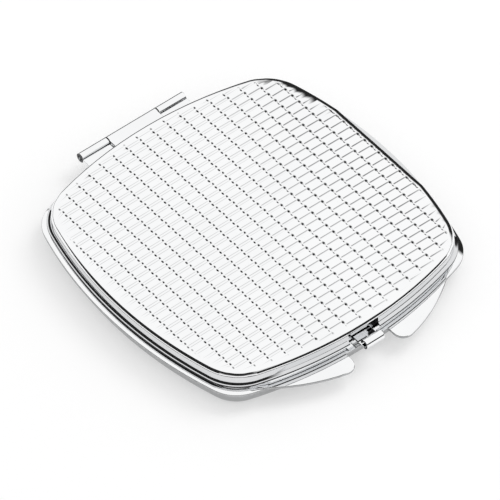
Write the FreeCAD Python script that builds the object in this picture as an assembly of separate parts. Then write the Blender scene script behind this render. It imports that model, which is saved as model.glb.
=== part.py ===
"""Square pocket compact mirror: two hinged chrome shells, each holding a mirror, with a thumb catch.

Frame: millimetres, +Z up, the flat underside rests on z = 0. The middle of the lid plate is on the
Z axis, the hinge is at +Y and the catch at -Y. The lid is closed.
"""
import FreeCAD, Part
import math
import os

Vec = FreeCAD.Vector

# Plan outline: a square with bulged sides and rounded corners
plate_width = 62.2        # lid plate, side to side
side_radius = 82.0        # bulge of each side of the lid plate
plate_corner = 9.4
skirt_flare = 0.55        # lip of the lid skirt beyond the plate edge
skirt_corner = 9.0
rim_reach = 1.25          # edge of the base rim beyond the plate edge
rim_corner = 7.1
pan_reach = 0.1           # wall of the base pan beyond the plate edge
pan_corner = 6.6

# Base, from the table up
pan_sheet = 0.6
pan_depth = 2.3
pan_edge_bevel = 0.7
floor_thick = 0.5         # floor of the base frame
wall_height = 1.75        # wall of the base frame above its floor
rim_drop = 0.7            # edge of the rim below the top of the wall, which leaves a dark gap under the lid
rim_thick = 0.55
rim_slope = 0.22          # rise of the rim from its edge to the wall

# Lid, from the parting line up
parting_gap = 0.1
skirt_height = 2.45
lip_height = 0.17         # upright edge of the lip along the bottom of the skirt
flare_height = 0.45       # slope between lip and wall
lid_web = 0.4             # web across the lid frame, between the mirror and the plate
neck_height = 0.45        # top of the skirt that the turned-down edge of the plate fits over
neck_inset = 0.7
seam = 0.12               # dark seam between the plate edge and the shoulder of the skirt
plate_thick = 0.42
plate_border = 1.0        # plain border around the embossing
border_bevel = 0.45
crown = 0.3               # rise of the plate in the middle

# Basket-weave embossing: columns of low gabled pillows, every other column half a pillow on
column_pitch = 3.15
row_pitch = 1.97
column_gap = 0.16
column_phase = 0.47       # first column boundary right of the middle
pillow_rise = 0.11
groove_level = 0.06       # bottom of the grooves above the crowned face between the columns

# Mirrors and the rings that hold them, straight-sided, the same in lid and base
frame_wall = 4.45         # pocket of the mirror inside the lower edge of the skirt
mirror_corner = 7.0
lid_mirror_thick = 1.2
magnifier_thick = 1.0
magnifier_radius = 1200.0
pad_thick = 0.4
pad_inset = 7.0           # square of foam tape inside the edge of the mirror
mirror_gap = 0.2          # around the mirror in its pocket
bezel_lip = 1.0           # bezel over the face of the mirror
bezel_thick = 0.25
fit = 0.05                # clearance of a piece set into another

# Hinge
hinge_length = 24.3
hinge_middle = 11.7       # knuckle of the lid leaf
knuckle_gap = 0.15
knuckle_radius = 1.0
pin_radius = 0.5
pin_play = 0.05           # around the pin in the lid knuckle, which turns on it
pin_fit = 0.01            # around the pin in the two base knuckles, which hold it
pin_recess = 0.35
hinge_stand_off = 3.28    # hinge axis behind the plate edge
hinge_drop = 0.23         # hinge axis below the top of the base frame
leaf_thick = 0.5
leaf_grip = 2.2           # length of the leaves let into the frames
leaf_relief = 0.3         # base leaf to the lid knuckle

# Catch
catch_width = 4.1
catch_sheet = 0.35
catch_barrel_radius = 0.95
catch_stand_off = 2.65    # barrel axis in front of the plate edge
catch_seat = 0.8          # end of the strip in the front wall of the lid frame
notch_width = 7.0
notch_depth = 1.9         # notch into the front of the lid frame, from the skirt's lower edge
catch_travel_room = 0.2   # room over the end of the strip, for its spring

# Thumb wings beside the catch
wing_spacing = 9.76
wing_length = 16.6
wing_reach = 4.25         # beyond the edge of the rim, before the tip is rounded
wing_tip = 2.4
wing_bulge = 1.1
wing_run_out = 0.3        # far end of a wing inside the edge of the rim

# Derived levels and half widths
plate_half = plate_width / 2
skirt_half = plate_half + skirt_flare
rim_half = plate_half + rim_reach
pan_half = plate_half + pan_reach
pocket_half = skirt_half - frame_wall
pocket_corner = mirror_corner + mirror_gap
mirror_half = pocket_half - mirror_gap

floor_top = pan_depth + floor_thick
base_top = floor_top + wall_height
rim_top = base_top - rim_drop
rim_bottom = rim_top - rim_thick
lid_bottom = base_top + parting_gap
lip_top = lid_bottom + lip_height
skirt_top = lid_bottom + skirt_height
shoulder_level = skirt_top - neck_height
web_level = skirt_top - lid_web
edge_level = shoulder_level + seam
plate_level = skirt_top + plate_thick
neck_half = plate_half - neck_inset
neck_corner = plate_corner - neck_inset
field_half = plate_half - plate_border
field_corner = plate_corner - plate_border
hinge_y = plate_half + hinge_stand_off
hinge_z = base_top - hinge_drop
catch_y = -(plate_half + catch_stand_off)
catch_z = lid_bottom + catch_barrel_radius
catch_level = lid_bottom + catch_sheet
notch_back = -(skirt_half - notch_depth)


def outline(half, corner, z):
    """Closed wire of four bulged sides and four corner arcs, all tangent."""
    radius = side_radius + half - plate_half
    rise = half - radius
    corner_at = (rise + math.sqrt(2 * (radius - corner) ** 2 - rise ** 2)) / 2
    sweep = math.atan2(corner_at, corner_at - rise)
    diagonal = corner_at + corner * math.sqrt(0.5)
    edges = []
    for quarter in range(4):
        turn = FreeCAD.Rotation(Vec(0, 0, 1), 90 * quarter)

        def side_point(angle):
            return turn.multVec(Vec(radius * math.sin(angle), rise + radius * math.cos(angle), z))

        next_start = turn.multVec(Vec(rise + radius * math.cos(sweep), radius * math.sin(sweep), z))
        edges.append(Part.Arc(side_point(sweep), side_point(0), side_point(-sweep)).toShape())
        corner_middle = turn.multVec(Vec(diagonal, diagonal, z))
        edges.append(Part.Arc(next_start, corner_middle, side_point(sweep)).toShape())
    return Part.Wire(Part.__sortEdges__(edges))


def slab(half, corner, bottom, top):
    return Part.Face(outline(half, corner, bottom)).extrude(Vec(0, 0, top - bottom))


def box(x0, x1, y0, y1, z0, z1):
    return Part.makeBox(x1 - x0, y1 - y0, z1 - z0, Vec(x0, y0, z0))


def square(half, corner, bottom, top):
    """Straight-sided square block with rounded corners."""
    block = box(-half, half, -half, half, bottom, top)
    return block.makeFillet(corner, upright_edges(block))


def rod(radius, x0, x1, y, z):
    return Part.makeCylinder(radius, x1 - x0, Vec(x0, y, z), Vec(1, 0, 0))


def level_edges(shape, z):
    """Edges that lie wholly in the plane at height z."""
    near = 1e-4
    return [e for e in shape.Edges if abs(e.BoundBox.ZMin - z) < near and abs(e.BoundBox.ZMax - z) < near]


def upright_edges(shape):
    return [e for e in shape.Edges if e.BoundBox.ZLength > e.Length / 2]


def crown_face(level):
    """Crowned sheet over the square around the embossed field, level along the square's edges."""
    surface = Part.BezierSurface()
    surface.increase(2, 2)
    steps = (-field_half, 0.0, field_half)
    for i, x in enumerate(steps):
        for j, y in enumerate(steps):
            # The middle pole's weight at the middle of the sheet is a quarter
            rise = 4 * crown if i == 1 and j == 1 else 0.0
            surface.setPole(i + 1, j + 1, Vec(x, y, level + rise))
    return surface.toShape()


def crown_height(x, y):
    return crown * (1 - (x / field_half) ** 2) * (1 - (y / field_half) ** 2)


def pillow_column(left, shift):
    """One column of pillows along Y: a row of gables pulled across the column."""
    right = left + column_pitch - column_gap
    middle = (left + right) / 2
    rows = math.ceil(field_half / row_pitch) + 1

    def point(y, lift):
        inside = max(-field_half, min(field_half, y))
        return Vec(left, y, plate_level + crown_height(middle, inside) + groove_level + lift)

    corners = [Vec(left, (rows + shift) * row_pitch, skirt_top),
               Vec(left, (shift - rows) * row_pitch, skirt_top)]
    for row in range(-rows, rows):
        start = (row + shift) * row_pitch
        corners.append(point(start, 0))
        corners.append(point(start + row_pitch / 2, pillow_rise))
    corners.append(point((rows + shift) * row_pitch, 0))
    section = Part.Face(Part.makePolygon(corners + corners[:1]))
    return section.extrude(Vec(right - left, 0, 0))


def make_lid_plate():
    """Struck plate: crowned field with the embossing, plain bevelled border, edge turned down over the neck."""
    border = slab(plate_half, plate_corner, edge_level, plate_level)
    border = border.makeChamfer(border_bevel, level_edges(border, plate_level))
    field = slab(field_half, field_corner, skirt_top, plate_level + crown + groove_level + pillow_rise)
    crowned = crown_face(plate_level).extrude(Vec(0, 0, skirt_top - plate_level - crown))
    count = math.ceil(field_half / column_pitch) + 1
    columns = []
    for column in range(-count, count):
        left = column_phase + column * column_pitch + column_gap / 2
        columns.append(pillow_column(left, 0.5 * ((column + 1) % 2)))
    embossed = crowned.multiFuse(columns).common(field)
    neck_room = slab(neck_half + fit, neck_corner + fit, edge_level, skirt_top)
    return border.fuse(embossed).cut(neck_room).removeSplitter()


def make_skirt():
    """Upright wall of the lid, flared to a thin lip along its lower edge."""
    return Part.makeLoft([outline(skirt_half, skirt_corner, lid_bottom), outline(skirt_half, skirt_corner, lip_top),
                          outline(plate_half, plate_corner, lip_top + flare_height),
                          outline(plate_half, plate_corner, shoulder_level)], True, True)


def make_lid_frame():
    """Skirt and neck with a web between mirror and plate, open at the front for the catch."""
    skirt = make_skirt().fuse(slab(neck_half, neck_corner, shoulder_level, skirt_top))
    pocket = square(pocket_half, pocket_corner, lid_bottom, web_level)
    half_notch = notch_width / 2
    notch = box(-half_notch, half_notch, -rim_half, notch_back, lid_bottom, skirt_top)
    half_seat = catch_width / 2 + fit
    seat_top = catch_level + catch_travel_room
    seat = box(-half_seat, half_seat, notch_back, notch_back + catch_seat, lid_bottom, seat_top)
    half_leaf = hinge_middle / 2 + fit
    leaf_bed = box(-half_leaf, half_leaf, lid_leaf_start() - fit, rim_half, lid_bottom, lid_leaf_top())
    return skirt.cut(pocket.multiFuse([notch, seat, leaf_bed])).removeSplitter()


def make_mirror(bottom, thick):
    return square(mirror_half, mirror_corner, bottom, bottom + thick)


def make_bezel(bottom):
    """Flat ring pressed into the pocket, over the edge of the mirror."""
    top = bottom + bezel_thick
    ring = square(pocket_half - fit, pocket_corner - fit, bottom, top)
    return ring.cut(square(mirror_half - bezel_lip, mirror_corner - bezel_lip, bottom, top))


def make_catch_strip():
    """Spring strip soldered into the front wall of the lid frame, rolled up into a barrel before the rim."""
    half = catch_width / 2
    root = notch_back + catch_seat
    strip = box(-half, half, catch_y, root, lid_bottom, catch_level)
    barrel = rod(catch_barrel_radius, -half, half, catch_y, catch_z)
    bore = rod(catch_barrel_radius - catch_sheet, -half, half, catch_y, catch_z)
    slit = box(-half, half, catch_y, catch_y + catch_barrel_radius, catch_level, catch_level + catch_sheet)
    return barrel.cut(slit).fuse(strip).cut(bore).removeSplitter()


def make_base_pan():
    """Shallow pressed pan with a flat underside."""
    pan = slab(pan_half, pan_corner, 0, pan_depth)
    pan = pan.makeChamfer(pan_edge_bevel, level_edges(pan, 0))
    return pan.cut(slab(pan_half - pan_sheet, pan_corner - pan_sheet, pan_sheet, pan_depth))


def wing(side):
    """Flat thumb wing of the rim: rounded beside the catch, running out along the rim."""
    near = wing_spacing / 2
    far = near + wing_length
    radius = side_radius + rim_reach
    far_y = radius - rim_half - math.sqrt(radius ** 2 - far ** 2) + wing_run_out
    start = Vec(far, far_y, rim_bottom)
    tip = Vec(near, -rim_half - wing_reach, rim_bottom)
    along = (tip - start).normalize()
    middle = (start + tip) * 0.5 + Vec(-along.y, along.x, 0) * wing_bulge
    root = -pocket_half
    sides = Part.makePolygon([tip, Vec(near, root, rim_bottom), Vec(far, root, rim_bottom), start])
    plan = Part.Wire([Part.Arc(start, middle, tip).toShape()] + sides.Edges)
    blade = Part.Face(plan).extrude(Vec(0, 0, rim_thick))
    corner = min(upright_edges(blade), key=lambda e: e.BoundBox.Center.distanceToPoint(tip))
    blade = blade.makeFillet(wing_tip, [corner])
    return blade if side > 0 else blade.mirror(Vec(0, 0, 0), Vec(1, 0, 0))


def make_rim():
    """Thin projecting rim, falling a little from the wall to its edge."""
    return Part.makeLoft([outline(rim_half, rim_corner, rim_bottom), outline(rim_half, rim_corner, rim_top),
                          outline(pan_half, pan_corner, rim_top + rim_slope)], True, True)


def make_base_frame():
    """Wall and floor of the base with the rim and its two thumb wings, and the bed of the hinge leaf."""
    wall = slab(pan_half, pan_corner, pan_depth, base_top)
    body = wall.multiFuse([make_rim(), wing(1), wing(-1)])
    pocket = square(pocket_half, pocket_corner, floor_top, base_top)
    half_leaf = hinge_length / 2 + fit
    leaf_bed = box(-half_leaf, half_leaf, base_leaf_start() - fit, hinge_y, base_top - leaf_thick, base_top)
    return body.cut(pocket.fuse(leaf_bed)).removeSplitter()


def make_pad(bottom):
    """Square of foam tape behind a mirror."""
    half = mirror_half - pad_inset
    return box(-half, half, -half, half, bottom, bottom + pad_thick)


def make_base_mirror():
    """Magnifying glass: the upper face is a shallow spherical dish."""
    bottom = floor_top + pad_thick
    glass = make_mirror(bottom, magnifier_thick)
    # The rim of the dish runs round the corners of the glass
    reach = (mirror_half - mirror_corner) * math.sqrt(2) + mirror_corner + mirror_gap
    centre_z = bottom + magnifier_thick + math.sqrt(magnifier_radius ** 2 - reach ** 2)
    dish = Part.makeSphere(magnifier_radius, Vec(0, 0, centre_z), Vec(0, 1, 0))
    return glass.cut(dish)


def lid_leaf_top():
    return hinge_z + knuckle_radius


def lid_leaf_start():
    return skirt_half - leaf_grip


def base_leaf_start():
    return rim_half - leaf_grip


def make_lid_leaf():
    """Strip let into the underside of the lid frame and rolled into the middle knuckle."""
    half = hinge_middle / 2
    top = lid_leaf_top()
    strip = box(-half, half, lid_leaf_start(), hinge_y, top - leaf_thick, top)
    knuckle = rod(knuckle_radius, -half + knuckle_gap, half - knuckle_gap, hinge_y, hinge_z)
    bore = rod(pin_radius + pin_play, -half, half, hinge_y, hinge_z)
    relief = knuckle_radius + leaf_relief
    strip_ends = [box(-half, -half + knuckle_gap, hinge_y - relief, hinge_y, top - leaf_thick, top),
                  box(half - knuckle_gap, half, hinge_y - relief, hinge_y, top - leaf_thick, top)]
    return strip.multiFuse([knuckle]).cut(bore.multiFuse(strip_ends)).removeSplitter()


def make_base_leaf():
    """Strip let into the top of the base frame and rolled into the two outer knuckles."""
    half = hinge_length / 2
    inner = hinge_middle / 2
    relief = knuckle_radius + leaf_relief
    strip = box(-half, half, base_leaf_start(), hinge_y, base_top - leaf_thick, base_top)
    gap = box(-inner, inner, hinge_y - relief, hinge_y + relief, base_top - leaf_thick, base_top)
    knuckles = [rod(knuckle_radius, -half, -inner, hinge_y, hinge_z),
                rod(knuckle_radius, inner, half, hinge_y, hinge_z)]
    bore = rod(pin_radius + pin_fit, -half, half, hinge_y, hinge_z)
    return strip.cut(gap).multiFuse(knuckles).cut(bore).removeSplitter()


def make_hinge_pin():
    half = hinge_length / 2 - pin_recess
    return rod(pin_radius, -half, half, hinge_y, hinge_z)


lid_pad_level = web_level - pad_thick
lid_mirror_level = lid_pad_level - lid_mirror_thick
pieces = {
    "lid_plate": make_lid_plate(),
    "lid_frame": make_lid_frame(),
    "lid_mirror_pad": make_pad(lid_pad_level),
    "lid_mirror": make_mirror(lid_mirror_level, lid_mirror_thick),
    "lid_bezel": make_bezel(lid_mirror_level - bezel_thick),
    "catch_strip": make_catch_strip(),
    "base_pan": make_base_pan(),
    "base_frame": make_base_frame(),
    "base_mirror_pad": make_pad(floor_top),
    "base_mirror": make_base_mirror(),
    "base_bezel": make_bezel(floor_top + pad_thick + magnifier_thick),
    "hinge_leaf_lid": make_lid_leaf(),
    "hinge_leaf_base": make_base_leaf(),
    "hinge_pin": make_hinge_pin(),
}

os.makedirs("parts", exist_ok=True)
for name, shape in pieces.items():
    shape.exportStep(f"parts/{name}.step")
    size = shape.BoundBox
    print(f"{name:16s} solids {len(shape.Solids)} faces {len(shape.Faces):5d} valid {shape.isValid()} "
          f"volume {shape.Volume:9.2f}  x {size.XMin:.2f} {size.XMax:.2f}  y {size.YMin:.2f} {size.YMax:.2f}"
          f"  z {size.ZMin:.2f} {size.ZMax:.2f}")
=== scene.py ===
import math

import bmesh
import bpy
from mathutils import Matrix, Vector


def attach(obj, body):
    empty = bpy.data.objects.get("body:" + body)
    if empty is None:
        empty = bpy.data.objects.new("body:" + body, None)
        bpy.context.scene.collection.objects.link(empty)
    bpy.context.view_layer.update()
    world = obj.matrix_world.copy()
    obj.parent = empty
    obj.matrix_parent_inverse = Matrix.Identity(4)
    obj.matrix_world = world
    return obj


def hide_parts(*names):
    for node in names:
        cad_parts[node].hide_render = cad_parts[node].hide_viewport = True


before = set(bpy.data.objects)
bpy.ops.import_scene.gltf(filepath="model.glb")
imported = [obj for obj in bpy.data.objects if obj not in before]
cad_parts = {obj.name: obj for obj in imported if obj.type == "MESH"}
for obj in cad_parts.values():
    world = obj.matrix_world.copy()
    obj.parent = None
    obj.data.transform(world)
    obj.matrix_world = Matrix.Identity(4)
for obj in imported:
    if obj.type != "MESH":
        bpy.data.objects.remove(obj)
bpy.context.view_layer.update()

# Base pan: the plain lower shell that the closed compact rests on. Pressed from sheet metal with a
# rounded lower edge, then chrome plated; its wall stands under the floor of the rim.
mm = 0.001
stations = 256                      # points round the case: half on the four long arcs, half on the corners
case_half, case_bow = 31.1, 82.0    # half width of the lid plate, and the radius of its bulged sides
straight = 1e5                      # bow of a straight-sided outline
crease_angle = 20


def case_point(half, corner, station, bow):
    """Point of the case outline: four shallow arcs, joined by round corners."""
    turn, part = divmod(station / stations * 4, 1)
    radius = bow + half - case_half
    rise = case_half - bow
    middle = (rise + math.sqrt(2 * (radius - corner) ** 2 - rise ** 2)) / 2
    sweep = math.atan2(middle, middle - rise)
    if part < 0.5:
        angle = sweep * (4 * part - 1)
        point = Vector((rise + radius * math.cos(angle), radius * math.sin(angle), 0))
    else:
        angle = sweep + (math.pi / 2 - 2 * sweep) * (2 * part - 1)
        point = Vector((middle + corner * math.cos(angle), middle + corner * math.sin(angle), 0))
    return Matrix.Rotation(turn * math.pi / 2, 3, "Z") @ point


def case_band(profile):
    """Band of the case's outline, pulled ring by ring through (half, corner, height, rounding, bow)."""
    band = bmesh.new()
    number = band.verts.layers.int.new("station")
    loop = bmesh.ops.create_circle(band, segments=stations, radius=1)["verts"]
    for i, vert in enumerate(loop):
        vert[number] = i
    edges = band.edges[:]
    first = edges[:]
    rounded = {}
    for step, (half, corner, height, rounding, bow) in enumerate(profile):
        if step:
            grown = bmesh.ops.extrude_edge_only(band, edges=edges)["geom"]
            edges = [e for e in grown if isinstance(e, bmesh.types.BMEdge)]
            loop = [v for v in grown if isinstance(v, bmesh.types.BMVert)]
        for vert in loop:
            vert.co = case_point(half, corner, vert[number], bow) + Vector((0, 0, height))
        if rounding:
            rounded.setdefault(rounding, []).extend(edges)
    return band, first, edges, rounded


def round_off(shape, rounded, segments=5):
    """Rounds the rings of a band that have a rounding."""
    for rounding, edges in rounded.items():
        bmesh.ops.bevel(shape, geom=edges, offset=rounding, offset_type="OFFSET", segments=segments,
                        profile=0.5, affect="EDGES", material=-1)


def true_flats(piece):
    """Keeps flat faces flat in the shading, next to the rounded edges."""
    flats = piece.modifiers.new("true_flats", "WEIGHTED_NORMAL")
    flats.weight = 100
    flats.keep_sharp = True


def finish_piece(name, shape, body, material, second=None, crease=crease_angle):
    """Turns a millimetre shape into a piece that rides on its body."""
    bmesh.ops.scale(shape, vec=(mm, mm, mm), verts=shape.verts)
    bmesh.ops.recalc_face_normals(shape, faces=shape.faces)
    mesh = bpy.data.meshes.new(name)
    shape.to_mesh(mesh)
    shape.free()
    mesh.shade_smooth()
    mesh.set_sharp_from_angle(angle=math.radians(crease))
    piece = bpy.data.objects.new(name, mesh)
    bpy.context.scene.collection.objects.link(piece)
    piece.data.materials.append(material)
    true_flats(piece)
    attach(piece, body)
    if second:
        piece.data.materials.append(second)
    return piece


def add_node(tree, kind, place=(0, 0), **values):
    """New node of a kind, at its place in the tree and with its settings."""
    node = tree.nodes.new(kind)
    node.location = place
    for key, value in values.items():
        setattr(node, key, value)
    return node


def handling_marks():
    """Group: the faint cloudiness and hairlines that polished metal and glass get from hands."""
    group = bpy.data.node_groups.new("handling_marks", "ShaderNodeTree")
    face = group.interface
    face.new_socket("Scale", in_out="INPUT", socket_type="NodeSocketFloat")
    face.new_socket("Clouding", in_out="OUTPUT", socket_type="NodeSocketFloat")
    face.new_socket("Hairlines", in_out="OUTPUT", socket_type="NodeSocketFloat")
    entry = add_node(group, "NodeGroupInput", (-900, 0))
    result = add_node(group, "NodeGroupOutput", (500, 0))
    coords = add_node(group, "ShaderNodeTexCoord", (-900, -200))
    clouds = add_node(group, "ShaderNodeTexNoise", (-500, 100))
    clouds.inputs["Detail"].default_value = 4.0
    clouds.inputs["Roughness"].default_value = 0.6
    group.links.new(coords.outputs["Object"], clouds.inputs["Vector"])
    group.links.new(entry.outputs["Scale"], clouds.inputs["Scale"])
    stretch = add_node(group, "ShaderNodeMapping", (-700, -200))
    stretch.inputs["Rotation"].default_value = (0.0, 0.0, 0.7)
    stretch.inputs["Scale"].default_value = (0.06, 1.0, 1.0)
    group.links.new(coords.outputs["Object"], stretch.inputs["Vector"])
    hairs = add_node(group, "ShaderNodeTexNoise", (-500, -200))
    hairs.inputs["Scale"].default_value = 9000.0
    hairs.inputs["Detail"].default_value = 2.0
    group.links.new(stretch.outputs["Vector"], hairs.inputs["Vector"])
    group.links.new(clouds.outputs["Fac"], result.inputs["Clouding"])
    group.links.new(hairs.outputs["Fac"], result.inputs["Hairlines"])
    return group


marks = handling_marks()


def polished_metal(name, pale, darker_tone, rough=(0.015, 0.05), marks_scale=60.0, bump=0.02):
    """Bright plated or drawn metal with a little clouding and hairlines."""
    material = bpy.data.materials.new(name)
    material.use_nodes = True
    tree = material.node_tree
    shader = tree.nodes["Principled BSDF"]
    shader.inputs["Metallic"].default_value = 1.0
    handled = add_node(tree, "ShaderNodeGroup", (-900, 0), node_tree=marks)
    handled.inputs["Scale"].default_value = marks_scale
    tone = add_node(tree, "ShaderNodeValToRGB", (-500, 200))
    tone.color_ramp.elements[0].position = 0.25
    tone.color_ramp.elements[0].color = (*darker_tone, 1)
    tone.color_ramp.elements[1].position = 0.6
    tone.color_ramp.elements[1].color = (*pale, 1)
    tree.links.new(handled.outputs["Clouding"], tone.inputs["Fac"])
    tree.links.new(tone.outputs["Color"], shader.inputs["Base Color"])
    polish = add_node(tree, "ShaderNodeMapRange", (-500, -100))
    polish.inputs["From Min"].default_value = 0.3
    polish.inputs["From Max"].default_value = 0.75
    polish.inputs["To Min"].default_value = rough[0]
    polish.inputs["To Max"].default_value = rough[1]
    tree.links.new(handled.outputs["Clouding"], polish.inputs["Value"])
    tree.links.new(polish.outputs["Result"], shader.inputs["Roughness"])
    relief = add_node(tree, "ShaderNodeBump", (-300, -350))
    relief.inputs["Strength"].default_value = bump
    relief.inputs["Distance"].default_value = 0.00001
    tree.links.new(handled.outputs["Hairlines"], relief.inputs["Height"])
    tree.links.new(relief.outputs["Normal"], shader.inputs["Normal"])
    return material


chrome = polished_metal("bright_chrome", (0.94, 0.945, 0.95), (0.90, 0.906, 0.912))

pan_half, pan_corner, pan_height, pan_sheet = 31.2, 6.6, 2.3, 0.6
pan, pan_under, pan_inside, pan_round = case_band([
    (pan_half, pan_corner, 0.0, 1.3, case_bow),
    (pan_half, pan_corner, pan_height, 0.0, case_bow),
    (pan_half - pan_sheet, pan_corner - pan_sheet, pan_height, 0.0, case_bow),
    (pan_half - pan_sheet, pan_corner - pan_sheet, pan_sheet, 0.4, case_bow),
])
bmesh.ops.edgeloop_fill(pan, edges=pan_under)
bmesh.ops.edgeloop_fill(pan, edges=pan_inside)
round_off(pan, pan_round)
# The pan's chrome has painted shade: its colour is darker, for the shade of the rim and of the table that it
# reflects.
pan_chrome_painted_shade = polished_metal("pan_chrome_painted_shade", (0.48, 0.485, 0.49), (0.42, 0.425, 0.43))
base_pan = finish_piece("pressed_pan", pan, "base", pan_chrome_painted_shade)
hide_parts("base_pan")

# Base rim: the ring of the base with its thin projecting rim and the floor that carries the mirror.
# Stamped, soldered to the pan and chrome plated; a shallow bed at the back takes the hinge leaf.
rim_half, rim_corner = 32.35, 7.1
rim_low, rim_high, rim_root = 3.3, 3.85, 4.17
base_top, base_floor = 4.55, 2.8
pocket_half, pocket_corner = 27.2, 7.2      # pocket of a mirror, the same in base and lid
rim, rim_under, rim_pocket, rim_round = case_band([
    (pan_half, pan_corner, pan_height, 0.0, case_bow),
    (pan_half, pan_corner, rim_low, 0.0, case_bow),
    (rim_half, rim_corner, rim_low, 0.1, case_bow),
    (rim_half, rim_corner, rim_high, 0.06, case_bow),
    (pan_half, pan_corner, rim_root, 0.0, case_bow),
    (pan_half, pan_corner, base_top, 0.1, case_bow),
    (pocket_half, pocket_corner, base_top, 0.0, straight),
    (pocket_half, pocket_corner, base_floor, 0.0, straight),
])
bmesh.ops.edgeloop_fill(rim, edges=rim_under)
bmesh.ops.edgeloop_fill(rim, edges=rim_pocket)


def soft_step(value):
    """0 up to 0, 1 from 1 on, with a soft rise between."""
    value = min(1.0, max(0.0, value))
    return value * value * (3 - 2 * value)


flat_half, flat_run_out = 19, 5     # the rim is flat along the wings, and rises to its wall beyond them
flat_front, flat_level = -25, rim_high + 0.005
for vert in rim.verts:
    if abs(vert.co.z - rim_root) < 0.001 and vert.co.y < flat_front:
        rise = soft_step((abs(vert.co.x) - flat_half) / flat_run_out)
        vert.co.z += (flat_level - rim_root) * (1 - rise)
round_off(rim, rim_round, 6)


def block(shape, low, high, rounding=0.0):
    """Block between two corners, with all its edges broken where it has a rounding."""
    made = bmesh.ops.create_cube(shape, size=1)["verts"]
    low, high = Vector(low), Vector(high)
    bmesh.ops.scale(shape, vec=high - low, verts=made)
    bmesh.ops.translate(shape, vec=(low + high) / 2, verts=made)
    if rounding:
        edges = list({e for v in made for e in v.link_edges})
        bmesh.ops.bevel(shape, geom=edges, offset=rounding, offset_type="OFFSET", segments=3,
                        profile=0.5, affect="EDGES", material=-1)


def cut_out(piece, low, high):
    """Takes a block out of a piece, as a press tool or mill does."""
    tool = bmesh.new()
    block(tool, Vector(low) * mm, Vector(high) * mm)
    mesh = bpy.data.meshes.new("tool")
    tool.to_mesh(mesh)
    tool.free()
    cutter = bpy.data.objects.new("tool", mesh)
    bpy.context.scene.collection.objects.link(cutter)
    piece.modifiers.clear()
    step = piece.modifiers.new("cut", "BOOLEAN")
    step.operation = "DIFFERENCE"
    step.solver = "EXACT"
    step.object = cutter
    bpy.context.view_layer.update()
    seen = piece.evaluated_get(bpy.context.evaluated_depsgraph_get())
    result = bpy.data.meshes.new_from_object(seen)
    piece.modifiers.clear()
    old = piece.data
    piece.data = result
    result.name = piece.name
    bpy.data.meshes.remove(old)
    bpy.data.objects.remove(cutter)
    bpy.data.meshes.remove(mesh)
    result.set_sharp_from_angle(angle=math.radians(crease_angle))
    true_flats(piece)


def dull_painted_shade_edges(shape, low, high):
    """Marks the upright faces between two heights for the second finish of a piece, a dull one with painted
    shade.
    """
    shape.normal_update()
    for face in shape.faces:
        if abs(face.normal.z) < 0.7 and low < face.calc_center_median().z < high:
            face.material_index = 1


# Sheared edges are left as the press tool cuts them, duller than the polished faces; their darker colour is
# painted shade, for the shaded table that they reflect.
cut_edge_painted_shade = polished_metal("cut_sheet_edge_painted_shade", (0.48, 0.485, 0.49), (0.36, 0.365, 0.37),
                          rough=(0.12, 0.3), marks_scale=700.0, bump=0.15)
dull_painted_shade_edges(rim, rim_low, rim_high)
base_rim = finish_piece("base_rim", rim, "base", chrome, second=cut_edge_painted_shade)
hinge_half, leaf_front, leaf_low, leaf_play = 12.15, 30.15, 4.05, 0.05
bed_half, bed_front, bed_back = hinge_half + leaf_play, leaf_front - leaf_play, rim_half + 2.15
cut_out(base_rim, (-bed_half, bed_front, leaf_low), (bed_half, bed_back, base_top + 0.05))
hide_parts("base_frame")

# Thumb wings: two flat wings of the rim beside the catch, for the thumbs that open the lid. Blanked in
# one sheet with the rim, with a bowed outer edge and the corner next to the catch rounded.
wing_tip = Vector((4.88, -36.6, rim_low))
wing_end = Vector((21.48, -29.23, rim_low))
wing_root = -28.0
wing_bulge, wing_round, wing_edge = 1.1, 2.86, 0.14
wing_top = rim_high + 0.02      # just over the rim, whose broken edge would show as a groove


def thumb_wing(side):
    """Flat wing on one side of the catch (-1 left, 1 right)."""
    wing = bmesh.new()
    along = (wing_tip - wing_end).normalized()
    swell = Vector((-along.y, along.x, 0)) * wing_bulge
    corners = [Vector((wing_tip.x, wing_root, rim_low)), Vector((wing_end.x, wing_root, rim_low)), wing_end]
    for part in [eighth / 8 for eighth in range(1, 7)]:
        corners.append(wing_end.lerp(wing_tip, part) + swell * 4 * part * (1 - part))
    corners.append(wing_tip)
    wing.faces.new([wing.verts.new(p) for p in corners])
    tip = min(wing.verts, key=lambda v: (v.co - wing_tip).length)
    bmesh.ops.bevel(wing, geom=[tip], offset=wing_round, offset_type="OFFSET", segments=12, profile=0.5,
                    affect="VERTICES", material=-1)
    grown = bmesh.ops.extrude_face_region(wing, geom=wing.faces[:])["geom"]
    bmesh.ops.translate(wing, vec=(0, 0, wing_top - rim_low),
                        verts=[v for v in grown if isinstance(v, bmesh.types.BMVert)])
    outer = [e for e in wing.edges if abs(e.verts[0].co.z - e.verts[1].co.z) < 0.01
             and min(v.co.y for v in e.verts) < wing_root - 0.5]
    bmesh.ops.bevel(wing, geom=outer, offset=wing_edge, offset_type="OFFSET", segments=3, profile=0.5,
                    affect="EDGES", material=-1)
    bmesh.ops.scale(wing, vec=(side, 1, 1), verts=wing.verts)
    return wing


for side, name in ((-1, "thumb_wing_left"), (1, "thumb_wing_right")):
    wing = thumb_wing(side)
    dull_painted_shade_edges(wing, rim_low, wing_top)
    finish_piece(name, wing, "base", chrome, second=cut_edge_painted_shade)

# Base mirror: the magnifying one, a dished, silvered glass on a square of foam tape, with a thin
# chromed ring pressed into the pocket over its edge.


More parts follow.
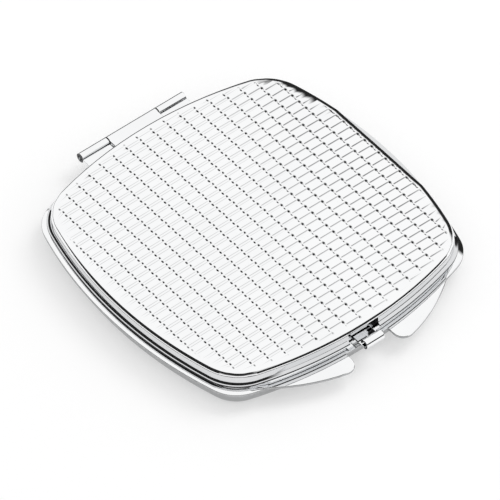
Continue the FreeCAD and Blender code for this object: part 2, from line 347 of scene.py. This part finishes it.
def silvered_glass(name, tint):
    """Mirror glass: bright silver under clear glass with a few faint marks."""
    material = bpy.data.materials.new(name)
    material.use_nodes = True
    tree = material.node_tree
    shader = tree.nodes["Principled BSDF"]
    shader.inputs["Metallic"].default_value = 1.0
    shader.inputs["Coat Roughness"].default_value = 0.02
    handled = add_node(tree, "ShaderNodeGroup", (-900, 0), node_tree=marks)
    handled.inputs["Scale"].default_value = 90.0
    tone = add_node(tree, "ShaderNodeValToRGB", (-500, 200))
    tone.color_ramp.elements[0].color = (tint[0] * 0.96, tint[1] * 0.97, tint[2] * 0.97, 1)
    tone.color_ramp.elements[1].color = (*tint, 1)
    tree.links.new(handled.outputs["Clouding"], tone.inputs["Fac"])
    tree.links.new(tone.outputs["Color"], shader.inputs["Base Color"])
    smear = add_node(tree, "ShaderNodeMapRange", (-500, -100))
    smear.inputs["From Min"].default_value = 0.55
    smear.inputs["From Max"].default_value = 0.8
    smear.inputs["To Min"].default_value = 0.005
    smear.inputs["To Max"].default_value = 0.05
    tree.links.new(handled.outputs["Clouding"], smear.inputs["Value"])
    tree.links.new(smear.outputs["Result"], shader.inputs["Roughness"])
    coat = add_node(tree, "ShaderNodeMapRange", (-500, -400))
    coat.inputs["To Min"].default_value = 0.35
    coat.inputs["To Max"].default_value = 0.5
    tree.links.new(handled.outputs["Hairlines"], coat.inputs["Value"])
    tree.links.new(coat.outputs["Result"], shader.inputs["Coat Weight"])
    return material


def foam_tape():
    """Closed-cell foam: dark grey with fine pores."""
    material = bpy.data.materials.new("foam_tape")
    material.use_nodes = True
    tree = material.node_tree
    shader = tree.nodes["Principled BSDF"]
    shader.inputs["Roughness"].default_value = 0.9
    coords = add_node(tree, "ShaderNodeTexCoord", (-1000, 0))
    pores = add_node(tree, "ShaderNodeTexVoronoi", (-750, 0))
    pores.inputs["Scale"].default_value = 3500.0
    tree.links.new(coords.outputs["Object"], pores.inputs["Vector"])
    tone = add_node(tree, "ShaderNodeValToRGB", (-500, 150))
    tone.color_ramp.elements[0].color = (0.10, 0.10, 0.11, 1)
    tone.color_ramp.elements[1].color = (0.20, 0.20, 0.21, 1)
    tree.links.new(pores.outputs["Distance"], tone.inputs["Fac"])
    tree.links.new(tone.outputs["Color"], shader.inputs["Base Color"])
    relief = add_node(tree, "ShaderNodeBump", (-300, -250))
    relief.inputs["Strength"].default_value = 0.6
    relief.inputs["Distance"].default_value = 0.0001
    tree.links.new(pores.outputs["Distance"], relief.inputs["Height"])
    tree.links.new(relief.outputs["Normal"], shader.inputs["Normal"])
    return material


mirror_silver = silvered_glass("silvered_glass", (0.91, 0.93, 0.93))
foam = foam_tape()


def finish_node(node, material):
    """Gives a CAD piece its finish."""
    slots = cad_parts[node].data.materials
    if not slots:
        slots.append(material)
    for i in range(len(slots)):
        slots[i] = material


finish_node("base_mirror", mirror_silver)
finish_node("base_mirror_pad", foam)
finish_node("base_bezel", chrome)

# Hinge at the back: a chromed leaf let into the base and rolled into two outer knuckles, a leaf let
# into the lid and rolled into the long middle one, and a drawn steel wire through them.
hinge_y, hinge_z = 34.38, 4.32
middle_half, knuckle_gap = 5.7, 0.15
knuckle_radius, base_bore, lid_bore = 0.995, 0.51, 0.55
leaf_edge = 0.05


def knuckle(shape, left, right, bore):
    """Rolled tube about the hinge line, with softly broken ends."""
    ring = bmesh.new()
    profile = [ring.verts.new((x, hinge_y, hinge_z + r)) for x, r in
               ((left, bore), (left, knuckle_radius), (right, knuckle_radius), (right, bore))]
    for i in range(4):
        ring.edges.new((profile[i], profile[(i + 1) % 4]))
    bmesh.ops.bevel(ring, geom=profile[1:3], offset=0.12, offset_type="OFFSET", segments=3, profile=0.5,
                    affect="VERTICES", material=-1)
    bmesh.ops.spin(ring, geom=ring.verts[:] + ring.edges[:], cent=(0, hinge_y, hinge_z), axis=(1, 0, 0),
                   angle=2 * math.pi, steps=48, use_merge=True)
    bmesh.ops.remove_doubles(ring, verts=ring.verts, dist=0.0005)
    made = bpy.data.meshes.new("knuckle")
    ring.to_mesh(made)
    ring.free()
    shape.from_mesh(made)
    bpy.data.meshes.remove(made)


def dull_painted_shade_ends(shape, y, z):
    """Marks the cut ends of a strip rolled about a line for the second finish of a piece, a dull one with
    painted shade.
    """
    shape.normal_update()
    for face in shape.faces:
        middle = face.calc_center_median()
        if abs(face.normal.x) > 0.8 and math.hypot(middle.y - y, middle.z - z) < knuckle_radius:
            face.material_index = 1


# The cut ends of a rolled strip are dull and lie in shade; their dark colour is painted shade.
rolled_end_painted_shade = polished_metal("cut_rolled_end_painted_shade", (0.10, 0.10, 0.104), (0.05, 0.05, 0.052),
                            rough=(0.3, 0.5), marks_scale=700.0, bump=0.15)
leaf_high, leaf_back = 4.53, 33.1
arm_front, arm_back = 33.0, 33.75           # arms from the leaf into its knuckles
outer = middle_half + knuckle_gap
leaf = bmesh.new()
block(leaf, (-hinge_half, leaf_front, leaf_low), (hinge_half, leaf_back, leaf_high), leaf_edge)
for left, right in ((-hinge_half, -outer), (outer, hinge_half)):
    block(leaf, (left, arm_front, leaf_low), (right, arm_back, leaf_high), leaf_edge)
    knuckle(leaf, left, right, base_bore)
dull_painted_shade_ends(leaf, hinge_y, hinge_z)
base_leaf = finish_piece("hinge_leaf_of_base", leaf, "base", chrome, second=rolled_end_painted_shade)
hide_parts("hinge_leaf_base")

lid_leaf_low, lid_leaf_high, lid_leaf_front, lid_leaf_back = 4.82, 5.08, 29.45, 34.2
leaf = bmesh.new()
block(leaf, (-middle_half, lid_leaf_front, lid_leaf_low), (middle_half, lid_leaf_back, lid_leaf_high),
      leaf_edge)
knuckle(leaf, -middle_half, middle_half, lid_bore)
dull_painted_shade_ends(leaf, hinge_y, hinge_z)
lid_leaf = finish_piece("hinge_leaf_of_lid", leaf, "lid", chrome, second=rolled_end_painted_shade)
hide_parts("hinge_leaf_lid")

pin_steel = polished_metal("drawn_steel", (0.58, 0.59, 0.60), (0.48, 0.49, 0.50),
                           rough=(0.2, 0.35), marks_scale=900.0, bump=0.2)
finish_node("hinge_pin", pin_steel)

# Lid frame: the skirt of the lid, an upright polished wall flared to a thin lip over the rim, with a
# web that carries the mirror. Stamped and chrome plated; notched for the catch and bedded for the
# hinge leaf.
lid_low, lid_web, shoulder, neck_top = 4.65, 6.7, 6.65, 7.08
lip_half, lip_corner, lip_edge = 31.74, 9.0, 0.04
lip_low, lip_high = 4.76, 5.1
plate_corner, neck_inset = 9.4, 0.7
skirt, skirt_under, skirt_top, skirt_round = case_band([
    (pocket_half, pocket_corner, lid_web, 0.0, straight),
    (pocket_half, pocket_corner, lid_low, 0.0, straight),
    (31.6, 9.1, lid_low, 0.0, case_bow),
    (lip_half, lip_corner, lip_low, lip_edge, case_bow),
    (lip_half, lip_corner, lip_high, lip_edge, case_bow),
    (31.54, 9.15, 5.16, 0.0, case_bow),
    (31.23, 9.35, 5.45, 0.0, case_bow),
    (case_half, plate_corner, shoulder, 0.0, case_bow),
    (case_half - neck_inset, plate_corner - neck_inset, shoulder, 0.0, case_bow),
    (case_half - neck_inset, plate_corner - neck_inset, neck_top, 0.0, case_bow),
])
bmesh.ops.edgeloop_fill(skirt, edges=skirt_under)
bmesh.ops.edgeloop_fill(skirt, edges=skirt_top)
round_off(skirt, skirt_round, 6)
# The wall's chrome has painted shade, a slightly darker colour than the plate's, for the shaded table that
# it reflects; the thin edge of the lip has a dark, dull finish of painted shade, for the dark gap that it
# reflects.
skirt_chrome_painted_shade = polished_metal("skirt_chrome_painted_shade", (0.74, 0.746, 0.755), (0.69, 0.696, 0.705))
lip_edge_painted_shade = polished_metal("lip_edge_painted_shade", (0.07, 0.07, 0.072), (0.04, 0.04, 0.042),
                           rough=(0.35, 0.5), marks_scale=700.0, bump=0.15)
dull_painted_shade_edges(skirt, lip_low - 0.06, lip_high + 0.01)
lid_frame = finish_piece("lid_skirt", skirt, "lid", skirt_chrome_painted_shade, second=lip_edge_painted_shade)
under, beyond_wall = lid_low - 0.15, 33         # the cuts start outside the metal
notch_half, notch_back, notch_top = 3.5, -29.75, 7.2
cut_out(lid_frame, (-notch_half, -beyond_wall, under), (notch_half, notch_back, notch_top))
catch_root, seat_half, seat_front, seat_top = -28.95, 2.1, -30, 5.2
cut_out(lid_frame, (-seat_half, seat_front, under), (seat_half, catch_root, seat_top))
bed_half, bed_front, bed_top = middle_half + 0.2, lid_leaf_front - leaf_play, 5.32
cut_out(lid_frame, (-bed_half, bed_front, under), (bed_half, beyond_wall, bed_top))
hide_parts("lid_frame")

# Lid plate: the cover of the lid, one struck and slightly crowned plate with a basket weave of small
# pillows in columns that stand half a row apart, and a plain edge turned down over the skirt. Chrome
# plated; the pits at the ends of the pillows and the thin lines beside them have painted shade, dark in
# colour.
column_pitch, row_pitch, column_phase = 3.15, 1.97, 0.47
pillow_half, pillow_swell = 0.635, 0.018
# The pits and the lines beside the pillows are painted shade: the plate's colour is darkened there.
near_line, far_line = 0.06, 0.2             # thin dark lines beside a pillow, from its edge
left_pit, right_pit, pit_depth = 0.065, 0.075, 0.07
weave_rise, weave_fade = 0.05, 0.9          # the weave over the plate, and its run-out to the border
crown, border = 0.3, 1.0
field_half = case_half - border
plate_level = 7.52


def inset_of(x, y):
    """How far a point lies inside the plate's outline, and the outward direction there."""
    rise = case_half - case_bow
    middle = (rise + math.sqrt(2 * (case_bow - plate_corner) ** 2 - rise ** 2)) / 2
    sweep = math.atan2(middle, middle - rise)
    ax, ay = abs(x), abs(y)
    angle = math.atan2(ay - middle, ax - middle)
    if ax + ay > 2 * middle and sweep < angle < math.pi / 2 - sweep:
        away = Vector((ax - middle, ay - middle))
        reach = plate_corner
    elif ax > ay:
        away = Vector((ax - rise, ay))
        reach = case_bow
    else:
        away = Vector((ax, ay - rise))
        reach = case_bow
    length = away.length
    return reach - length, Vector((math.copysign(away.x / length, x), math.copysign(away.y / length, y), 0))


def dent(off_x, off_y, width, length):
    """Soft-edged hollow, 1 in the middle."""
    return soft_step(1.45 - math.hypot(off_x / width, off_y / length))


def row_offset(y, column):
    """How far a point lies from the middle of the nearest pillow of a column."""
    along = y / row_pitch - 0.5 * (column % 2)
    return (along - round(along)) * row_pitch


def weave_height(x, y):
    """Height of the weave over the crowned plate, and how much painted shade a point has: in a pit or along
    a pillow.
    """
    column = math.floor((x - column_phase) / column_pitch)
    across = x - column_phase - column * column_pitch
    # lean also gives the lines and pits on the right more painted shade
    lean = soft_step((x - 0.6 * y + 8) / 22)        # towards the right, the pillows are struck askew
    off = row_offset(y, column)
    beyond = abs(off) - pillow_half
    # shade is painted shade in the colour of the lines beside the pillows, darker towards the right
    shade = 0.0
    if beyond < 0:
        drop = pillow_swell * (off / pillow_half) ** 2
    else:
        drop = pillow_swell * (1 + 0.3 * soft_step(beyond / 0.35))
        if abs(beyond - near_line) < 0.01:
            shade = 0.45 + 0.45 * lean if off < 0 else 0.45 * (1 - lean)
        elif abs(beyond - far_line) < 0.01 and off < 0:
            shade = 0.3 * lean + 0.5 * soft_step((x - 8) / 18)
        shade *= soft_step((across - 0.1) / 0.3) * soft_step((column_pitch - across - 0.1) / 0.3)
    pit = 0.0
    for beside in (-1, 0, 1):
        inward = across - beside * column_pitch
        off = row_offset(y, column + beside)
        left = dent(inward - left_pit, off, 0.13 + 0.06 * lean, 0.26 + 0.05 * lean)
        right = dent(inward - column_pitch + right_pit, off, 0.14 - 0.05 * lean, 0.28 - 0.10 * lean)
        pit = max(pit, left * (0.9 + 0.1 * lean), right * (1 - 0.5 * lean))
    return weave_rise - drop - pit_depth * pit, max(min(1.0, 1.5 * pit), shade)


def crown_height(x, y):
    """Rise of the plate over the level of its border."""
    return crown * (1 - (x / field_half) ** 2) * (1 - (y / field_half) ** 2)


plate = bmesh.new()
pit_and_line_shade_layer = plate.verts.layers.float.new("pit")
column_steps = (0.0, left_pit, 0.14, 0.22, 0.31, 0.4, 2.83, 2.92, 3.0, column_pitch - right_pit)
row_steps = (0.0, 0.15, 0.29, 0.35, pillow_half, pillow_half + near_line, pillow_half + far_line)
x_places = [column_phase + c * column_pitch + s for c in range(-11, 11) for s in column_steps]
x_places = [x for x in x_places if abs(x) < case_half + 0.4]
y_places = [r * row_pitch / 2 + s for r in range(-33, 33) for s in row_steps]
y_places = [y for y in y_places if abs(y) < case_half + 0.1]
bmesh.ops.create_grid(plate, x_segments=len(x_places) - 1, y_segments=len(y_places) - 1, size=1)
outside = set()
for number, vert in enumerate(plate.verts):
    x, y = x_places[number % len(x_places)], y_places[number // len(x_places)]
    inset, outward = inset_of(x, y)
    if inset < border:
        outside.add(vert)
        x += outward.x * (inset - border)
        y += outward.y * (inset - border)
        inset = border
    height, pit = weave_height(x, y)
    fade = soft_step((inset - border) / weave_fade)
    vert.co = (x, y, plate_level + crown_height(x, y) + height * fade)
    vert[pit_and_line_shade_layer] = pit * fade
gone = [f for f in plate.faces if all(v in outside for v in f.verts)]
bmesh.ops.delete(plate, geom=gone, context="FACES")
bmesh.ops.remove_doubles(plate, verts=plate.verts, dist=0.004)
edge = [e for e in plate.edges if e.is_boundary]
ways = {v: (v.co.copy(), inset_of(v.co.x, v.co.y)[1]) for e in edge for v in e.verts}
rolled_edge = [     # outwards from the field and down: the border, the turned-down edge and its inside
    (0.15, 0.014), (0.3, 0.038), (0.45, 0.072), (0.6, 0.115), (0.67, 0.142), (0.71, 0.174),
    (0.75, 0.222), (0.77, 0.25), (0.935, 0.504), (0.95, 0.53), (0.98, 0.59), (1.0, 0.66),
    (1.0, 0.75), (0.35, 0.75), (0.35, 0.42),
]
for reach, drop in rolled_edge:
    grown = bmesh.ops.extrude_edge_only(plate, edges=edge)["geom"]
    edge = [e for e in grown if isinstance(e, bmesh.types.BMEdge)]
    fresh = {}
    for vert in [v for v in grown if isinstance(v, bmesh.types.BMVert)]:
        old = next(o for e in vert.link_edges for o in e.verts if o in ways)
        fresh[vert] = ways[old]
        foot, outward = ways[old]
        level = foot.z + (plate_level - foot.z) * soft_step(reach / 0.3)
        vert.co = (foot.x + outward.x * reach, foot.y + outward.y * reach, level - drop)
        vert[pit_and_line_shade_layer] = 0.0
    ways = fresh
bmesh.ops.edgeloop_fill(plate, edges=edge)


def struck_chrome():
    """The same chrome, with painted shade in its colour: dark in the pits and in the lines beside the
    pillows.
    """
    material = polished_metal("struck_chrome", (0.95, 0.955, 0.96), (0.92, 0.926, 0.932))
    tree = material.node_tree
    shader = tree.nodes["Principled BSDF"]
    plain = shader.inputs["Base Color"].links[0].from_socket
    # painted shade: the pit attribute darkens the colour in the pits and along the pillows
    depth = add_node(tree, "ShaderNodeAttribute", (-500, 500), attribute_name="pit")
    darker_tone = add_node(tree, "ShaderNodeMix", (-200, 400), data_type="RGBA")
    darker_tone.inputs["B"].default_value = (0.02, 0.02, 0.021, 1)
    tree.links.new(depth.outputs["Fac"], darker_tone.inputs["Factor"])
    tree.links.new(plain, darker_tone.inputs["A"])
    tree.links.new(darker_tone.outputs["Result"], shader.inputs["Base Color"])
    return material


lid_plate = finish_piece("embossed_plate", plate, "lid", struck_chrome(), crease=60)
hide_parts("lid_plate")

# Lid mirror: plain silvered glass on a square of foam tape, kept in its pocket by the same kind of
# thin chromed ring as in the base.
finish_node("lid_mirror", mirror_silver)
finish_node("lid_mirror_pad", foam)
finish_node("lid_bezel", chrome)

# Catch: a chromed spring strip, soldered by its end into the front wall of the lid. It comes out under
# the notch and is rolled up into a small barrel in front of the rim, which the thumbs push.
catch_y, catch_z, catch_radius, catch_sheet = -33.75, 5.6, 0.95, 0.35
catch_half, catch_edge = 2.05, 0.07
catch_low, catch_roll = catch_z - catch_radius, -288
strip = bmesh.new()
block(strip, (-catch_half, catch_y, catch_low), (catch_half, catch_root, catch_low + catch_sheet))
front = [f for f in strip.faces if f.calc_center_median().y < catch_y + 0.01]
bmesh.ops.spin(strip, geom=front + [e for f in front for e in f.edges] + [v for f in front for v in f.verts],
               cent=(0, catch_y, catch_z), axis=(1, 0, 0), angle=math.radians(catch_roll), steps=40)
bmesh.ops.remove_doubles(strip, verts=strip.verts, dist=0.0005)
sides = [e for e in strip.edges if abs(abs(e.verts[0].co.x) - catch_half) < 0.001
         and abs(e.verts[0].co.x - e.verts[1].co.x) < 0.001 and len(e.link_faces) == 2
         and abs(e.link_faces[0].normal.x - e.link_faces[1].normal.x) > 0.5]
bmesh.ops.bevel(strip, geom=sides, offset=catch_edge, offset_type="OFFSET", segments=2, profile=0.5,
                affect="EDGES", material=-1)
dull_painted_shade_ends(strip, catch_y, catch_z)
catch = finish_piece("rolled_catch", strip, "catch", chrome, second=rolled_end_painted_shade)
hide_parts("catch_strip")

# Table, light and camera: a white table in a light tent, which is white all round for the table. For the
# metal it has white cards with dark gaps between them, which draw the black lines on the chrome. One soft
# lamp at the right gives the shadow.
table = bmesh.new()
bmesh.ops.create_grid(table, x_segments=1, y_segments=1, size=3.0)
table_mesh = bpy.data.meshes.new("table")
table.to_mesh(table_mesh)
table.free()
floor = bpy.data.objects.new("table", table_mesh)
bpy.context.scene.collection.objects.link(floor)
paper = bpy.data.materials.new("white_paper")
paper.use_nodes = True
paper_tree = paper.node_tree
paper_shader = paper_tree.nodes["Principled BSDF"]
paper_shader.inputs["Base Color"].default_value = (0.97, 0.97, 0.97, 1)
paper_shader.inputs["Roughness"].default_value = 0.9
paper_shader.inputs["Specular IOR Level"].default_value = 0.1
glow = add_node(paper_tree, "ShaderNodeEmission", (0, -300))
ray = add_node(paper_tree, "ShaderNodeLightPath", (-600, 400))
shown = ray.outputs["Is Camera Ray"]
for kind in ("Is Glossy Ray", "Is Transmission Ray"):
    either = add_node(paper_tree, "ShaderNodeMath", (-300, 400), operation="MAXIMUM")
    paper_tree.links.new(shown, either.inputs[0])
    paper_tree.links.new(ray.outputs[kind], either.inputs[1])
    shown = either.outputs[0]
share = add_node(paper_tree, "ShaderNodeMath", (-100, 400), operation="MULTIPLY")
share.inputs[1].default_value = 0.42        # the rest of the table takes the shadow
paper_tree.links.new(shown, share.inputs[0])
blend = add_node(paper_tree, "ShaderNodeMixShader", (300, 100))
paper_tree.links.new(share.outputs[0], blend.inputs[0])
paper_tree.links.new(paper_shader.outputs["BSDF"], blend.inputs[1])
paper_tree.links.new(glow.outputs["Emission"], blend.inputs[2])
paper_tree.links.new(blend.outputs["Shader"], paper_tree.nodes["Material Output"].inputs["Surface"])
table_mesh.materials.append(paper)

world = bpy.data.worlds.new("light_tent")
bpy.context.scene.world = world
world.use_nodes = True
tent = world.node_tree
sky = tent.nodes["Background"]
sky.inputs["Color"].default_value = (1, 1, 1, 1)
path = add_node(tent, "ShaderNodeLightPath", (-1500, 500))
coords = add_node(tent, "ShaderNodeTexCoord", (-1900, 0))
split = add_node(tent, "ShaderNodeSeparateXYZ", (-1700, 0))
tent.links.new(coords.outputs["Generated"], split.inputs["Vector"])


def ramp(source, low, high, place):
    """0 below low, 1 above high, soft between."""
    node = add_node(tent, "ShaderNodeMapRange", place, interpolation_type="SMOOTHSTEP")
    node.inputs["From Min"].default_value = low
    node.inputs["From Max"].default_value = high
    tent.links.new(source, node.inputs["Value"])
    return node.outputs["Result"]


def math_node(operation, first, second, place):
    """Math node of the tent; each input is a number or a socket."""
    node = add_node(tent, "ShaderNodeMath", place, operation=operation)
    for socket, value in zip(node.inputs, (first, second)):
        if isinstance(value, float):
            socket.default_value = value
        else:
            tent.links.new(value, socket)
    return node.outputs[0]


azimuth = math_node("ARCTAN2", split.outputs["Y"], split.outputs["X"], (-1500, 100))
elevation = math_node("ARCSINE", split.outputs["Z"], 0.0, (-1500, -100))


def white_card(right, left, low, high, level, place, soft=2.5):
    """A white card of the tent, between two directions round and two heights in degrees, with soft edges."""
    card = level
    for step, (angle, edge, inside) in enumerate(((azimuth, right, 1), (azimuth, left, -1),
                                                  (elevation, low, 1), (elevation, high, -1))):
        across, down = place[0], place[1] - 60 * step
        side = ramp(angle, math.radians(edge - soft), math.radians(edge + soft), (across, down))
        if inside < 0:
            side = math_node("SUBTRACT", 1.0, side, (across + 150, down))
        card = math_node("MULTIPLY", card, side, (across + 300, down))
    return card


cards = (                           # directions round from and to, heights from and to, level
    (50, 118, 23, 95, 1.0),         # back left
    (-80, 55, 40, 95, 1.0),         # right, high up
    (-80, -52, 24, 66, 1.0),        # right front
    (-102, -78, 20, 33, 1.0),       # front, low
    (-57, 8, 13, 66, 1.0),          # right, low
    (-165, -95, -5, 14, 0.8),       # on the camera's side, near the table
    (-185, 185, 74, 95, 1.0),       # roof
)
bright = 0.02                       # in the gaps between the cards
for number, card in enumerate(cards):
    lit = white_card(*card, (-1300, 300 - 300 * number))
    bright = math_node("MAXIMUM", bright, lit, (-700, 300 - 300 * number))
seen = add_node(tent, "ShaderNodeMix", (-100, 200), data_type="FLOAT")
tent.links.new(path.outputs["Is Glossy Ray"], seen.inputs["Factor"])
seen.inputs["A"].default_value = 0.86       # what lights the table
tent.links.new(bright, seen.inputs["B"])
eye = add_node(tent, "ShaderNodeMix", (100, 300), data_type="FLOAT")
tent.links.new(path.outputs["Is Camera Ray"], eye.inputs["Factor"])
tent.links.new(seen.outputs["Result"], eye.inputs["A"])
eye.inputs["B"].default_value = 1.0
tent.links.new(eye.outputs["Result"], sky.inputs["Strength"])

lamp = bpy.data.lights.new("soft_lamp", "AREA")
lamp.shape = "DISK"
lamp.size = 0.5
lamp.energy = 2.2
softbox = bpy.data.objects.new("soft_lamp", lamp)
bpy.context.scene.collection.objects.link(softbox)
softbox.location = (0.55, -0.05, 0.7)
softbox.rotation_euler = (-Vector(softbox.location)).to_track_quat("-Z", "Y").to_euler()
softbox.visible_glossy = False

lens = bpy.data.cameras.new("view")
lens.lens = 856.63
camera = bpy.data.objects.new("view", lens)
bpy.context.scene.collection.objects.link(camera)
place = Vector((-0.931081, -1.102136, 1.592892))
aim = Vector((-0.002561, -0.002426, 0.004336))
roll = Matrix.Rotation(math.radians(0.784), 4, "Z")
turn = (aim - place).to_track_quat("-Z", "Y").to_matrix().to_4x4() @ roll
camera.matrix_world = Matrix.Translation(place) @ turn
bpy.context.scene.camera = camera
bpy.context.scene.view_settings.view_transform = "Standard"
